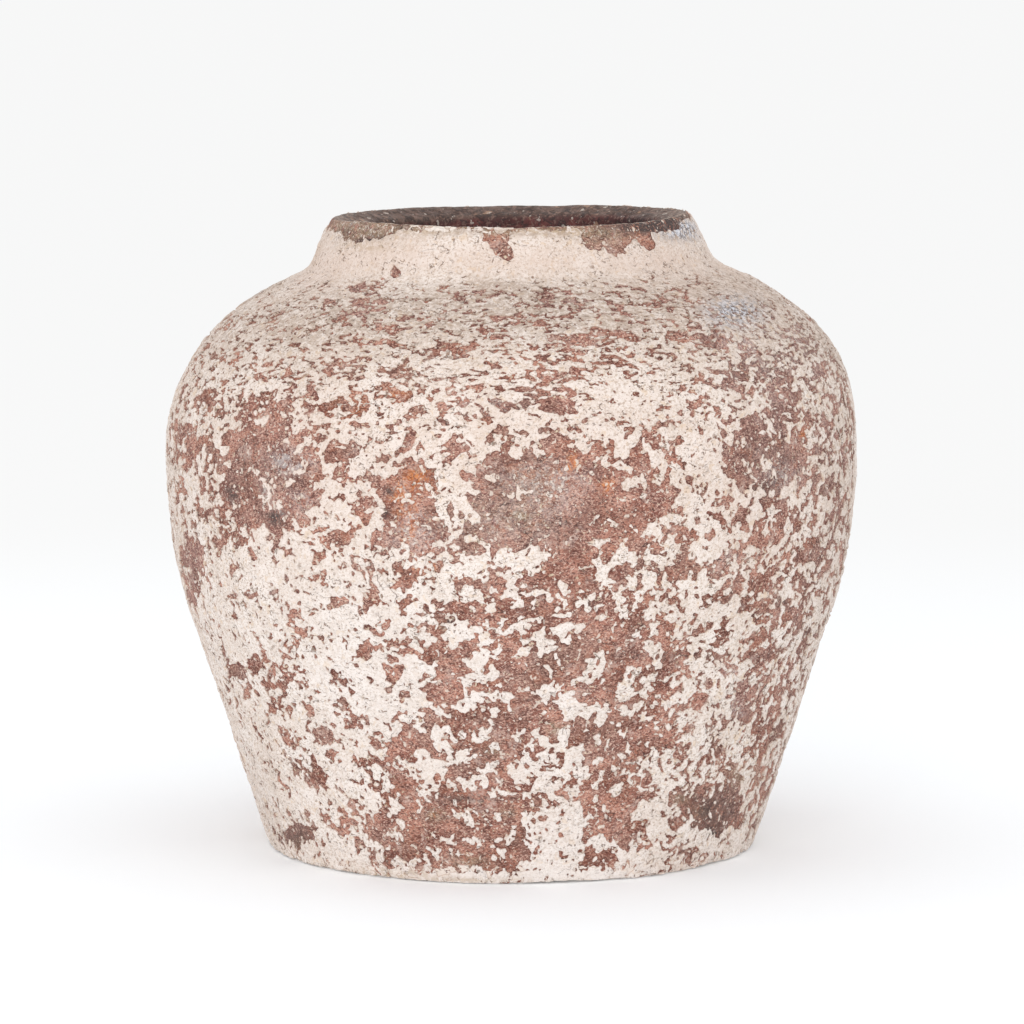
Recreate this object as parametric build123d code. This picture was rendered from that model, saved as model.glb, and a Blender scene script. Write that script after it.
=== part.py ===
from build123d import *
import os
from math import ceil, cos, pi, radians, sin, tan

# A hand-built stoneware storage jar with a flaking lime coat.
# Lengths are in millimetres and angles in degrees. +Z is up, the origin is the middle of the
# flat underside, and the weathered front of the jar faces -Y.

# Pot below the widest ring, whose straight flank bends up to the ring from a corner height
foot_radius = 115.6
belly_radius = 164.0
belly_height = 189.0
flank_corner_height = 147.2
heel_radius = 3.5
base_thickness = 14.0
floor_corner = 8.0
wall = 11.5

# Shoulder above the widest ring, thrown on an axis that leans a little to -X.
# Its profile rounds two corners: one straight above the ring, and one part of the way in
lean = 1.2
crown_rise = 44.0
upper_in_share = 0.613
upper_rise_share = 0.861
neck_radius = 95.6
neck_rise = 88.0
neck_fillet = 12.0
# Length of each bend's tangent as a share of the side between the two corners
crown_bend_share = 0.75
upper_bend_share = 0.22

# Lip, whose crest, throat and bore are set in from the neck
lip_rise = 111.0
crest_inset = 11.0
crest_rounding = 2.4
bevel_drop = 5.0
nose_rounding = 2.6
throat_inset = 24.1
throat_length = 11.0
underlip_drop = 5.0
underlip_rounding = 1.5
bore_inset = 16.6
collar_rounding = 4.0

# Luted seams, where a groove in the lower section takes a ridge of the upper one
seam_width = 6.0
seam_depth = 2.0
seam_stock = 12.0
foot_seam_height = 30.0
girdle_share = 0.5
shoulder_seam_rise = 50.0
lip_seam_rise = 96.0

# Lime coat, with the places where it has flaked off down to the clay
coat = 1.0
coat_foot_gap = 4.5
coat_lip_gap = 3.0
corner_pitch = 9.0
corner_counts = (10, 26)
overrun = 20.0
# Waves round an outline, each with its depth as a share of the radius
ragged_shares = [(2, 0.10), (3, 0.13), (5, 0.11), (8, 0.07)]
# Azimuth and turn in degrees, height as a share of the profile's rise, and breadth and
# tallness as shares of the widest radius, in the order azimuth, turn, height, breadth, tallness
flank_patch_shares = [
    (-43, 20, 0.99, 0.41, 0.32),
    (-17, 80, 0.95, 0.17, 0.20),
    (4, 140, 0.98, 0.36, 0.36),
    (20, 60, 0.96, 0.24, 0.34),
    (48, 200, 1.01, 0.40, 0.30),
    (-70, 35, 0.72, 0.20, 0.24),
    (-5, 60, 0.36, 0.34, 0.64),
    (-21, 130, 0.20, 0.26, 0.18),
    (22, 110, 0.36, 0.24, 0.27),
    (22, 20, 0.13, 0.18, 0.20),
    (48, 160, 0.16, 0.25, 0.14),
    (14, 250, 0.60, 0.34, 0.12),
    (48, 30, 0.70, 0.20, 0.22),
    (61, 220, 0.40, 0.16, 0.28),
    (-60, 300, 0.49, 0.13, 0.11),
    (-21, 10, 0.36, 0.17, 0.11),
    (-59, 75, 0.08, 0.20, 0.06),
    (88, 120, 0.62, 0.30, 0.26),
    (112, 210, 0.28, 0.34, 0.30),
    (146, 330, 0.84, 0.30, 0.30),
    (156, 15, 0.34, 0.26, 0.22),
    (176, 45, 0.42, 0.40, 0.40),
    (203, 95, 0.98, 0.34, 0.26),
    (203, 170, 0.13, 0.24, 0.16),
    (228, 150, 0.27, 0.26, 0.34),
    (250, 280, 0.70, 0.28, 0.20),
    (242, 40, 0.55, 0.22, 0.22),
    (270, 5, 0.36, 0.20, 0.24),
]
shoulder_patch_shares = [
    (11, 30, 0.91, 0.15, 0.09),
    (34, 90, 0.88, 0.10, 0.09),
    (-33, 70, 0.88, 0.13, 0.06),
    (-41, 150, 0.96, 0.12, 0.05),
    (15, 15, 0.72, 0.23, 0.09),
    (9, 130, 0.53, 0.14, 0.16),
    (-23, 200, 0.73, 0.09, 0.08),
    (-30, 240, 0.62, 0.10, 0.06),
    (-20, 50, 0.53, 0.06, 0.10),
    (39, 170, 0.68, 0.20, 0.09),
    (48, 100, 0.48, 0.26, 0.20),
    (67, 260, 0.55, 0.18, 0.18),
    (78, 20, 0.30, 0.13, 0.30),
    (-42, 190, 0.38, 0.24, 0.14),
    (-72, 110, 0.17, 0.28, 0.13),
    (-30, 290, 0.18, 0.16, 0.10),
    (-88, 65, 0.72, 0.20, 0.15),
    (91, 310, 0.77, 0.22, 0.13),
    (103, 130, 0.88, 0.14, 0.08),
    (114, 55, 0.46, 0.32, 0.11),
    (130, 160, 0.08, 0.26, 0.12),
    (139, 100, 0.75, 0.36, 0.22),
    (167, 170, 0.55, 0.26, 0.15),
    (192, 230, 0.84, 0.28, 0.10),
    (220, 290, 0.57, 0.36, 0.18),
    (248, 350, 0.38, 0.20, 0.12),
]
lip_patch_shares = [
    (-3, 40, 0.62, 0.10, 0.08),
    (35, 85, 0.66, 0.26, 0.08),
    (-60, 155, 0.80, 0.25, 0.06),
    (108, 205, 0.55, 0.14, 0.07),
    (158, 265, 0.72, 0.20, 0.07),
    (214, 325, 0.48, 0.12, 0.08),
    (262, 25, 0.76, 0.22, 0.06),
]


def spot(radius, rise):
    """A point of a half section, which lies in the XZ plane."""
    return Vector(radius, 0, rise)


def side_way(start, end):
    """The unit vector from one corner to the next."""
    return (end - start).normalized()


def out_of(way):
    """The unit vector that leaves the clay, square to a profile that runs upwards."""
    return Vector(way.Z, 0, -way.X)


def moved_out(corners, distance):
    """The corners of a profile with each side moved out of the clay by a distance."""
    outs = [out_of(side_way(start, end)) for start, end in zip(corners, corners[1:])]
    return [
        corner + (below + above) * (distance / (1 + below.dot(above)))
        for corner, below, above in zip(corners, outs[:1] + outs, outs + outs[-1:])
    ]


def bend_radius(before, corner, after, tangent):
    """The radius of the bend that rounds a corner and touches both sides at a tangent length."""
    turn = side_way(before, corner).get_angle(side_way(corner, after))
    return tangent / tan(radians(turn) / 2)


def on_side(start, end, rise):
    """Where the side from start to end reaches a rise."""
    return start + (end - start) * ((rise - start.Z) / (end.Z - start.Z))


def share_at(profile, rise):
    """How far along a climbing profile, from 0 to 1, it reaches a rise."""
    low, high = 0.0, 1.0
    for _ in range(24):
        middle = (low + high) / 2
        if (profile @ middle).Z < rise:
            low = middle
        else:
            high = middle
    return low


def radius_at(profile, rise):
    """The radius of a climbing profile at a rise."""
    return (profile @ share_at(profile, rise)).X


def turned(*edges):
    """The solid that a closed half section sweeps about the upright axis."""
    return revolve(make_face(edges), Axis.Z)


def room_above(rise, ridge_radius):
    """All the room above a level, with the ridge that hangs below it at a luted seam."""
    half = seam_width / 2
    far = belly_radius + overrun
    top = belly_height + lip_rise + overrun
    return turned(
        Polyline(
            spot(0, rise),
            spot(ridge_radius - half, rise),
            spot(ridge_radius, rise - seam_depth),
            spot(ridge_radius + half, rise),
            spot(far, rise),
            spot(far, top),
            spot(0, top),
            close=True,
        )
    )


# Radii of the mouth
crest_radius = neck_radius - crest_inset
throat_radius = neck_radius - throat_inset
collar_bore = neck_radius - bore_inset

# The leaning axis starts in the middle of the widest ring
leaning = Pos(0, 0, belly_height) * Rot(0, -lean, 0)

# Outer profile from the foot to the widest ring, with stock above it for the seam
pot_corners = [
    spot(foot_radius, 0),
    spot(belly_radius, flank_corner_height),
    spot(belly_radius, belly_height + seam_stock),
]
flank_bend = bend_radius(*pot_corners, belly_height - flank_corner_height)
flank = FilletPolyline(*pot_corners, radius=flank_bend)

# Outer profile from the widest ring to the crest, with rises counted from the ring
shoulder_corners = [
    spot(belly_radius, -seam_stock),
    spot(belly_radius, crown_rise),
    spot(belly_radius - (belly_radius - neck_radius) * upper_in_share, neck_rise * upper_rise_share),
    spot(neck_radius, neck_rise),
    spot(crest_radius, lip_rise),
]
shoulder_side = (shoulder_corners[2] - shoulder_corners[1]).length
crown_bend = bend_radius(*shoulder_corners[0:3], shoulder_side * crown_bend_share)
upper_bend = bend_radius(*shoulder_corners[1:4], shoulder_side * upper_bend_share)
shoulder = FilletPolyline(*shoulder_corners, radius=[crown_bend, upper_bend, neck_fillet])


def lower_clay():
    """The pot from the flat underside to above the widest ring, hollow above its floor."""
    foot, flank_corner, top = pot_corners
    outside = FilletPolyline(spot(0, 0), foot, flank_corner, top, radius=[heel_radius, flank_bend])
    body = turned(outside, Polyline(top, spot(0, top.Z), spot(0, 0)))
    inner_foot, inner_corner, inner_top = moved_out(pot_corners, -wall)
    inside = FilletPolyline(
        spot(0, base_thickness),
        on_side(inner_foot, inner_corner, base_thickness),
        inner_corner,
        inner_top,
        radius=[floor_corner, flank_bend - wall],
    )
    return body - turned(inside, Polyline(inner_top, spot(0, top.Z), spot(0, base_thickness)))


def upper_clay():
    """The shoulder, neck and lip, upright, with rises counted from the widest ring."""
    inner = moved_out(shoulder_corners[:4], -wall)
    slope = side_way(inner[2], inner[3])
    collar_foot = inner[2] + slope * ((inner[2].X - collar_bore) / -slope.X)
    throat_top = lip_rise - bevel_drop
    outline = FilletPolyline(
        *shoulder_corners,
        spot(throat_radius, throat_top),
        spot(throat_radius, throat_top - throat_length),
        spot(collar_bore, throat_top - throat_length - underlip_drop),
        collar_foot,
        inner[2],
        inner[1],
        inner[0],
        radius=[
            crown_bend,
            upper_bend,
            neck_fillet,
            crest_rounding,
            nose_rounding,
            underlip_rounding,
            underlip_rounding,
            collar_rounding,
            upper_bend - wall,
            crown_bend - wall,
        ],
    )
    return turned(outline, Line(inner[0], shoulder_corners[0]))


def lower_coat():
    """The lime on the pot, from just above the heel to above the widest ring."""
    lines = []
    for distance in (0, coat):
        foot, flank_corner, top = moved_out(pot_corners, distance)
        start = on_side(foot, flank_corner, coat_foot_gap)
        lines.append(FilletPolyline(start, flank_corner, top, radius=flank_bend + distance))
    clay_line, lime_line = lines
    ends = [Line(clay_line @ side, lime_line @ side) for side in (0, 1)]
    return turned(clay_line, lime_line, *ends)


def upper_coat():
    """The lime on the shoulder, neck and lip, upright, with rises counted from the widest ring."""
    lines = []
    for distance in (0, coat):
        *corners, crest = moved_out(shoulder_corners, distance)
        stop = on_side(corners[-1], crest, lip_rise - coat_lip_gap)
        bends = [crown_bend + distance, upper_bend + distance, neck_fillet - distance]
        lines.append(FilletPolyline(*corners, stop, radius=bends))
    clay_line, lime_line = lines
    ends = [Line(clay_line @ side, lime_line @ side) for side in (0, 1)]
    return turned(clay_line, lime_line, *ends)


def patch_cutter(profile, rise, azimuth, turn, breadth, tallness):
    """A ragged prism that stands square on the wall where a patch of lime has flaked off."""
    share = share_at(profile, rise)
    around = pi * (breadth + tallness) / 2
    fewest, most = corner_counts
    corners = min(most, max(fewest, ceil(around / corner_pitch)))
    points = []
    for corner in range(corners):
        angle = 2 * pi * corner / corners
        swell = 1 + sum(depth * sin(wave * (angle + radians(turn))) for wave, depth in ragged_shares)
        points.append((breadth / 2 * swell * cos(angle), tallness / 2 * swell * sin(angle)))
    seat = Plane(origin=profile @ share, x_dir=(0, 1, 0), z_dir=out_of(profile % share))
    outline = seat * make_face(Polyline(*points, close=True))
    return Rot(0, 0, azimuth - 90) * extrude(outline, overrun, both=True)


def patch_cutters(profile, foot, rise, shares):
    """One prism for each row of a table of patches on a profile."""
    return [
        patch_cutter(profile, foot + rise * up, azimuth, turn, belly_radius * broad, belly_radius * tall)
        for azimuth, turn, up, broad, tall in shares
    ]


# Seams between the luted sections, each with its ridge in the middle of the wall
girdle_height = belly_height * girdle_share
foot_seam = room_above(foot_seam_height, radius_at(flank, foot_seam_height) - wall / 2)
girdle_seam = room_above(girdle_height, radius_at(flank, girdle_height) - wall / 2)
belly_seam = leaning * room_above(0, belly_radius - wall / 2)
shoulder_seam = leaning * room_above(shoulder_seam_rise, radius_at(shoulder, shoulder_seam_rise) - wall / 2)
collar_seam = leaning * room_above(neck_rise, (collar_bore + neck_radius) / 2)
lip_seam = leaning * room_above(lip_seam_rise, (throat_radius + radius_at(shoulder, lip_seam_rise)) / 2)

# Clay sections from the floor to the lip
pot = lower_clay()
top_ware = leaning * upper_clay()
pieces = {
    "base_slab": pot - foot_seam,
    "lower_wall": (pot & foot_seam) - girdle_seam,
    "belly_wall": (pot & girdle_seam) - belly_seam,
    "shoulder_wall": (top_ware & belly_seam) - shoulder_seam,
    "shoulder_crown": (top_ware & shoulder_seam) - collar_seam,
    "neck_collar": (top_ware & collar_seam) - lip_seam,
    "rim_lip": top_ware & lip_seam,
}

# Lime bands, less their flaked patches
flaked = patch_cutters(flank, 0, belly_height, flank_patch_shares)
flaked += [leaning * tool for tool in patch_cutters(shoulder, 0, neck_rise, shoulder_patch_shares)]
flaked += [
    leaning * tool
    for tool in patch_cutters(shoulder, neck_rise, lip_rise - neck_rise, lip_patch_shares)
]
pot_coat = lower_coat()
top_coat = leaning * upper_coat()
pieces["lime_coat_foot"] = pot_coat - girdle_seam - flaked
pieces["lime_coat_belly"] = (pot_coat & girdle_seam) - belly_seam - flaked
pieces["lime_coat_shoulder"] = (top_coat & belly_seam) - collar_seam - flaked
pieces["lime_coat_collar"] = (top_coat & collar_seam) - flaked

os.makedirs("parts", exist_ok=True)
for name, piece in pieces.items():
    export_step(piece, f"parts/{name}.step")
    print(name, len(piece.solids()), round(piece.volume))
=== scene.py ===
from math import ceil, cos, pi, radians, sin, tan

import bpy
import numpy as np
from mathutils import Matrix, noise


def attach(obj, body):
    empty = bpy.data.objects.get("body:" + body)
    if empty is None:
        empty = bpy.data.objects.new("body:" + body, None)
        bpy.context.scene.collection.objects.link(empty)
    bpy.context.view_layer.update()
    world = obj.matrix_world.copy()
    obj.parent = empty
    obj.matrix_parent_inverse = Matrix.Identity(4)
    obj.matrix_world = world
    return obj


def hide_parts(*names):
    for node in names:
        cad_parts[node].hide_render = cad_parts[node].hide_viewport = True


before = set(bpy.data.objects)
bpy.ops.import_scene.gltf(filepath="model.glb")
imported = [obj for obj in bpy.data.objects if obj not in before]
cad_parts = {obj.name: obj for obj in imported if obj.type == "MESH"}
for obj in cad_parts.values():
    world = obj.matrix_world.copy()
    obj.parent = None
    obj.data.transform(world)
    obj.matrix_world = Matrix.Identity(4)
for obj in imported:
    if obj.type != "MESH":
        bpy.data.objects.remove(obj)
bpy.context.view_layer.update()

noise.seed_set(7)

# Camera
# It stands in front of the jar, a little above the lip, and looks down past it to the floor.
camera_back = 2.573
camera_side = 0.0003
camera_height = 0.4647
camera_pitch = radians(6.78)
focal_pixels = 5418.9
photo_middle = 512
sensor_width = 36

bpy.ops.object.select_all(action="DESELECT")
bpy.ops.object.camera_add(
    location=(camera_side, -camera_back, camera_height), rotation=(pi / 2 - camera_pitch, 0, 0)
)
camera = bpy.context.object
camera.data.lens = sensor_width * focal_pixels / (2 * photo_middle)
camera.data.clip_end = 200
bpy.context.scene.camera = camera


def in_photo(points):
    """Where points of the jar fall in the photograph, in pixels across and down."""
    away = points[:, 1] + camera_back
    up = points[:, 2] - camera_height
    depth = away * cos(camera_pitch) - up * sin(camera_pitch)
    rise = away * sin(camera_pitch) + up * cos(camera_pitch)
    across = photo_middle + focal_pixels * (points[:, 0] - camera_side) / depth
    return across, photo_middle - focal_pixels * rise / depth


# Base slab
# A disc of coarse reddish brown stoneware that the jar stands on. Its edge is pinched up into
# the first 3 cm of wall, and its heel is rounded where the lime stops short of it.
foot_radius = 0.1156
heel_bend = 0.0035
base_thickness = 0.014
foot_seam = 0.030
wall = 0.0115
# The inside was wiped smoother than the outside
inner_roughness = 0.6
flank_corner = (0.164, 0.1472)
crown_corner = (0.164, 0.233)
brow_corner = (0.1221, 0.2648)
neck_corner = (0.0956, 0.277)
crest_corner = (0.0846, 0.300)
nose_corner = (0.0715, 0.295)
flank_bend, crown_bend, brow_bend, neck_bend, crest_bend = 0.2612, 0.0794, 0.1068, 0.012, 0.0024


def rounded(corners, bends, pitch=0.0002):
    """Points a pitch apart along straight sides whose corners are rounded by arcs."""
    points = [np.array(corners[0], float)]
    for before, corner, after, bend in zip(corners, corners[1:], corners[2:], bends):
        corner = np.array(corner, float)
        back, on = np.array(before) - corner, np.array(after) - corner
        back, on = back / np.linalg.norm(back), on / np.linalg.norm(on)
        half = np.arccos(np.clip(back @ on, -1, 1)) / 2
        centre = corner + (back + on) / np.linalg.norm(back + on) * bend / sin(half)
        start, end = corner + back * bend / tan(half), corner + on * bend / tan(half)
        count = max(2, ceil(bend * (pi - 2 * half) / pitch))
        for step in np.linspace(0, 1, count + 1):
            ray = start * (1 - step) + end * step - centre
            points.append(centre + ray / np.linalg.norm(ray) * bend)
    points.append(np.array(corners[-1], float))
    line = np.array(points)
    runs = np.append(0, np.cumsum(np.linalg.norm(np.diff(line, axis=0), axis=1)))
    along = np.linspace(0, runs[-1], ceil(runs[-1] / pitch) + 1)
    return np.column_stack([np.interp(along, runs, line[:, i]) for i in (0, 1)]), along


# Outside of the whole jar, from the middle of the underside to the nose of the lip
outside_corners = [
    (0, 0), (foot_radius, 0), flank_corner, crown_corner, brow_corner, neck_corner, crest_corner, nose_corner
]
outside_bends = [heel_bend, flank_bend, crown_bend, brow_bend, neck_bend, crest_bend]
outside, outside_run = rounded(outside_corners, outside_bends)
outside_way = np.gradient(outside, outside_run, axis=0)
outside_way /= np.linalg.norm(outside_way, axis=1)[:, None]
crest_place = int(np.argmax(outside[:, 1]))
crest_run = float(outside_run[crest_place])


def run_at(height):
    """How far along the outside, from the middle of the underside, it reaches a height."""
    return float(np.interp(height, outside[:crest_place, 1], outside_run[:crest_place]))


def on_outside(run):
    """Radius, height and outward direction of the outside at distances along it."""
    radius, height = (np.interp(run, outside_run, outside[:, i]) for i in (0, 1))
    over, up = (np.interp(run, outside_run, outside_way[:, i]) for i in (0, 1))
    return np.column_stack([radius, height, up, -over])


def section(outer_runs, inner_points):
    """A closed half section: rows of radius, height, outward direction and share of roughness."""
    outer = np.column_stack([on_outside(outer_runs), np.ones(len(outer_runs))])
    return np.vstack([outer, inner_points])


def inward(outer_runs):
    """Rows of the inner wall, a wall's thickness behind the outside, from the top down."""
    rows = on_outside(outer_runs[::-1])
    return [(r - wall * over, z - wall * up, -over, -up, inner_roughness) for r, z, over, up in rows]


def eased(value, full):
    """Rises softly from 0 to its full size while a value goes from 0 to 1, and stays there."""
    share = np.clip(value, 0, 1)
    return full * share * share * (3 - 2 * share)


def leaned(points):
    """Points above the middle of the belly, turned with the leaning axis of the upper pot."""
    lean, ring_height, fade = radians(1.2), 0.189, 0.04
    turn = eased((points[:, 2] - ring_height + fade) / fade, lean)
    up = points[:, 2] - ring_height
    # The shoulder was also luted on a little to the right of the pot's middle
    offset, offset_rise = 0.0014, 0.05
    aside = eased(up / offset_rise, offset)
    # The lip isn't quite level: it rises a little towards both sides, and most on the front left
    reach = np.hypot(points[:, 0], points[:, 1]) + 1e-9
    sideways, backwards = points[:, 0] / reach, points[:, 1] / reach
    front_left = 2 * np.clip(-sideways, 0, 1) * np.clip(-backwards, 0, 1)
    back_left = 2 * np.clip(-sideways, 0, 1) * np.clip(backwards, 0, 1)
    lift = 0.0006 + 0.0010 * sideways**2 + 0.0018 * front_left + 0.0006 * back_left
    rise_foot, rise_fade = 0.275, 0.02
    rise = np.clip((points[:, 2] - rise_foot) / rise_fade, 0, 1) * lift
    across = points[:, 0] * np.cos(turn) - up * np.sin(turn) + aside
    above = ring_height + points[:, 0] * np.sin(turn) + up * np.cos(turn) + rise
    return np.column_stack([across, points[:, 1], above])


def on_ground(points):
    """Points that would lie under the ground, lifted up to it."""
    return np.maximum(points, (-1, -1, 0))


def waves(points, size, octaves=1, rough=0.7, shift=0.0):
    """Soft random waves of a given size, the same for all pieces that meet at a point."""
    usual_height = 0.38
    spots = (points / size + shift).tolist()
    return np.array([noise.fractal(spot, rough, 2.0, octaves) for spot in spots]) / usual_height


def swirls(points, size, shift=0):
    """Random shifts that change over a given size, each up to about 1 in three directions."""
    return np.array([noise.noise_vector(spot) for spot in (points / size + shift).tolist()])


def clay_relief(points):
    """How far the hand-worked surface stands out of the true turned one, in metres."""
    slow = waves(points, 0.055, 2, 0.9)
    dents = waves(points, 0.016, 2, 0.8, 7.3)
    grit = waves(points, 0.0042, 2, 0.6, 3.1)
    rings = waves(points * (0.25, 0.25, 1), 0.008, 1, 1.0, 5.7)
    return 0.00030 * slow + 0.00015 * dents + 0.00006 * grit + 0.00006 * rings


def hand_spots(points, spots):
    """How strongly listed soft spots cover points. Each spot: pixels across and down in the
    photograph, half width, half height, strength."""
    across, down = in_photo(points)
    share = np.zeros(len(points))
    for x, y, wide, tall, strength in spots:
        share += strength * np.exp(-(((across - x) / wide) ** 2 + ((down - y) / tall) ** 2))
    return share


def at_front(points):
    """1 on the side that the photograph shows, fading to 0 at its edges."""
    fade = 0.03
    return np.clip(-points[:, 1] / fade, 0, 1)


def keep_share(piece, name, share):
    """Keeps one value for each vertex of a piece, under a name."""
    layer = piece.data.attributes.new(name, "FLOAT", "POINT")
    layer.data.foreach_set("value", share)


# Stains of the bare clay in front. Each spot: as for hand_spots
clay_stains = {
    "rust": [
        (420, 478, 16, 9, 1), (400, 492, 14, 12, 0.7), (408, 520, 12, 22, 0.6), (571, 464, 7, 9, 1.4),
        (557, 478, 8, 6, 1.2), (607, 486, 7, 6, 1.5), (520, 560, 14, 5, 0.3), (425, 566, 16, 6, 0.6),
        (639, 229, 5, 5, 1.2), (480, 425, 10, 5, 0.5), (804, 435, 6, 6, 0.9), (435, 815, 5, 4, 0.7),
        (400, 398, 16, 10, 0.5), (350, 409, 18, 14, 0.4),
    ],
    "dark": [
        (441, 473, 9, 6, 1.2), (390, 491, 6, 5, 1), (380, 238, 24, 3, 0.7), (345, 232, 10, 3, 0.6),
        (385, 513, 6, 5, 1), (275, 518, 10, 9, 1), (232, 494, 8, 10, 0.8), (448, 622, 8, 5, 1),
        (782, 603, 8, 7, 0.8), (812, 629, 10, 9, 0.7), (714, 810, 32, 26, 0.7), (712, 833, 8, 5, 1),
        (680, 520, 8, 4, 0.8), (589, 604, 5, 5, 0.8), (684, 656, 84, 5, 0.5), (470, 799, 46, 3, 0.8),
        (759, 490, 10, 8, 0.6), (640, 227, 32, 8, 1.1), (668, 224, 20, 8, 1), (684, 216, 20, 4, 0.8),
        (366, 241, 18, 2, 1), (404, 226, 10, 6, 0.6), (296, 836, 16, 10, 0.6), (765, 454, 36, 36, 0.35),
        (255, 470, 30, 34, 0.3),
    ],
    "ash": [
        (292, 462, 18, 8, 1.1), (302, 500, 12, 10, 0.7), (412, 520, 12, 12, 0.8), (725, 560, 20, 16, 0.4),
        (352, 223, 12, 5, 0.8), (374, 231, 10, 5, 0.6), (290, 463, 16, 12, 1), (267, 492, 6, 12, 0.8),
        (280, 513, 5, 4, 1), (540, 478, 44, 16, 0.5), (500, 522, 44, 26, 0.3), (555, 500, 34, 28, 0.3),
        (480, 405, 30, 10, 0.5), (732, 675, 8, 8, 1), (734, 710, 12, 9, 0.7), (733, 314, 22, 18, 0.9),
        (752, 330, 30, 20, 0.5), (780, 348, 60, 55, 0.35), (782, 476, 20, 16, 0.6), (416, 540, 30, 18, 0.5),
        (268, 590, 26, 20, 0.3),
    ],
    "purple": [
        (780, 348, 66, 62, 0.8), (194, 570, 12, 40, 0.9), (267, 486, 52, 62, 0.4), (510, 510, 70, 46, 0.7),
        (548, 404, 40, 20, 0.4), (765, 454, 50, 50, 0.5), (840, 480, 30, 120, 0.6), (740, 700, 30, 40, 0.5),
        (344, 300, 60, 30, 0.6), (520, 300, 140, 26, 0.8), (296, 836, 26, 14, 0.8), (800, 640, 40, 60, 0.5),
    ],
    "tan": [
        (362, 228, 50, 15, 1.2), (450, 229, 60, 5, 1.2), (550, 231, 64, 5, 1.2), (300, 845, 10, 10, 0.4),
        (492, 751, 6, 5, 0.8), (553, 728, 6, 5, 1), (508, 813, 8, 5, 0.7), (435, 815, 8, 6, 0.8),
        (680, 799, 8, 5, 1), (700, 812, 10, 6, 0.6), (521, 516, 8, 5, 1), (505, 516, 60, 26, 0.3),
        (606, 238, 24, 8, 0.6), (684, 216, 20, 4, 1), (468, 862, 18, 7, 0.8), (447, 627, 6, 5, 0.9),
        (740, 775, 14, 10, 0.7), (530, 480, 30, 20, 0.3),
    ],
}


def clay_colours(piece):
    """Stains of the bare clay, kept as shares: given in front, at random behind."""
    points = read_points(piece)
    front = at_front(points)
    for name, spots in clay_stains.items():
        back = np.clip(waves(points, 0.03, 2, 0.7, 11.0 + 6 * len(name)) - 1.0, 0, 1)
        share = hand_spots(points, spots) * front + back * (1 - front)
        keep_share(piece, name, np.clip(share, 0, 1.2))
    # Chalk on the worn crest in front and at the heel; its pale colour is also painted light at the foot
    worn_crest = hand_spots(points, [(447, 229, 38, 5, 1)]) * front
    chalk_height = 0.010
    keep_share(piece, "chalk_and_light", np.clip((chalk_height - points[:, 2]) / chalk_height, 0, 1) + worn_crest)


def read_points(piece):
    """The places of a mesh's vertices, one row each."""
    places = np.empty(len(piece.data.vertices) * 3)
    piece.data.vertices.foreach_get("co", places)
    return places.reshape(-1, 3)


def write_points(piece, points):
    """Moves a mesh's vertices to new places."""
    piece.data.vertices.foreach_set("co", points.ravel())
    piece.data.update()


def spun(name, rows, steps):
    """A closed half section spun round the axis, each vertex with its direction and roughness."""
    bpy.ops.object.select_all(action="DESELECT")
    bpy.ops.mesh.primitive_circle_add(vertices=len(rows), radius=0.1)
    piece = bpy.context.object
    piece.name = piece.data.name = name
    write_points(piece, np.column_stack([rows[:, 0], np.zeros(len(rows)), rows[:, 1]]))
    for column, layer_name in ((2, "over"), (3, "up"), (4, "rough")):
        keep_share(piece, layer_name, rows[:, column])
    weld = 0.00002
    turn = piece.modifiers.new("wheel", "SCREW")
    turn.steps = turn.render_steps = steps
    turn.use_merge_vertices = True
    turn.merge_threshold = weld
    bpy.ops.object.modifier_apply(modifier=turn.name)
    bpy.ops.object.mode_set(mode="EDIT")
    bpy.ops.mesh.select_all(action="SELECT")
    bpy.ops.mesh.remove_doubles(threshold=weld)
    bpy.ops.mesh.select_all(action="SELECT")
    bpy.ops.mesh.normals_make_consistent(inside=False)
    bpy.ops.object.mode_set(mode="OBJECT")
    return piece


def thrown(name, rows, steps):
    """A ring of clay: its half section is spun round, then leaned and roughened."""
    piece = spun(name, rows, steps)
    points = read_points(piece)
    over, up, rough = (np.empty(len(points)) for _ in range(3))
    for values, layer_name in ((over, "over"), (up, "up"), (rough, "rough")):
        piece.data.attributes[layer_name].data.foreach_get("value", values)
        piece.data.attributes.remove(piece.data.attributes[layer_name])
    around = np.arctan2(points[:, 1], points[:, 0])
    out = np.column_stack([over * np.cos(around), over * np.sin(around), up])
    write_points(piece, on_ground(leaned(points + out * (rough * clay_relief(points))[:, None])))
    clay_colours(piece)
    # The crest is worn pale, most of all in front
    crest = np.clip((points[:, 2] - 0.2982) / 0.0006, 0, 1) * np.clip(-1.4 * np.sin(around), 0.1, 1)
    keep_share(piece, "crest", crest)
    bpy.ops.object.shade_smooth_by_angle(angle=radians(50))
    # Faces of the inside, whose vertices are all less rough, take the dark inside material, with its painted
    # shade in the throat
    corners, starts = np.empty(len(piece.data.loops), int), np.empty(len(piece.data.polygons), int)
    piece.data.loops.foreach_get("vertex_index", corners)
    piece.data.polygons.foreach_get("loop_start", starts)
    inside_faces = np.maximum.reduceat(rough[corners], starts) < 0.99
    piece.data.materials.append(bare_clay)
    piece.data.materials.append(dark_inside)
    piece.data.polygons.foreach_set("material_index", inside_faces.astype(int))
    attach(piece, "root")
    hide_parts(name.replace("_clay", ""))


def node(material, kind, sockets=None, **settings):
    """Adds one shader node, sets it up and wires or fills its sockets."""
    made = material.node_tree.nodes.new("ShaderNode" + kind)
    for name, value in settings.items():
        setattr(made, name, value)
    for name, value in (sockets or {}).items():
        if isinstance(value, bpy.types.NodeSocket):
            material.node_tree.links.new(value, made.inputs[name])
        else:
            made.inputs[name].default_value = value
    return made


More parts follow.
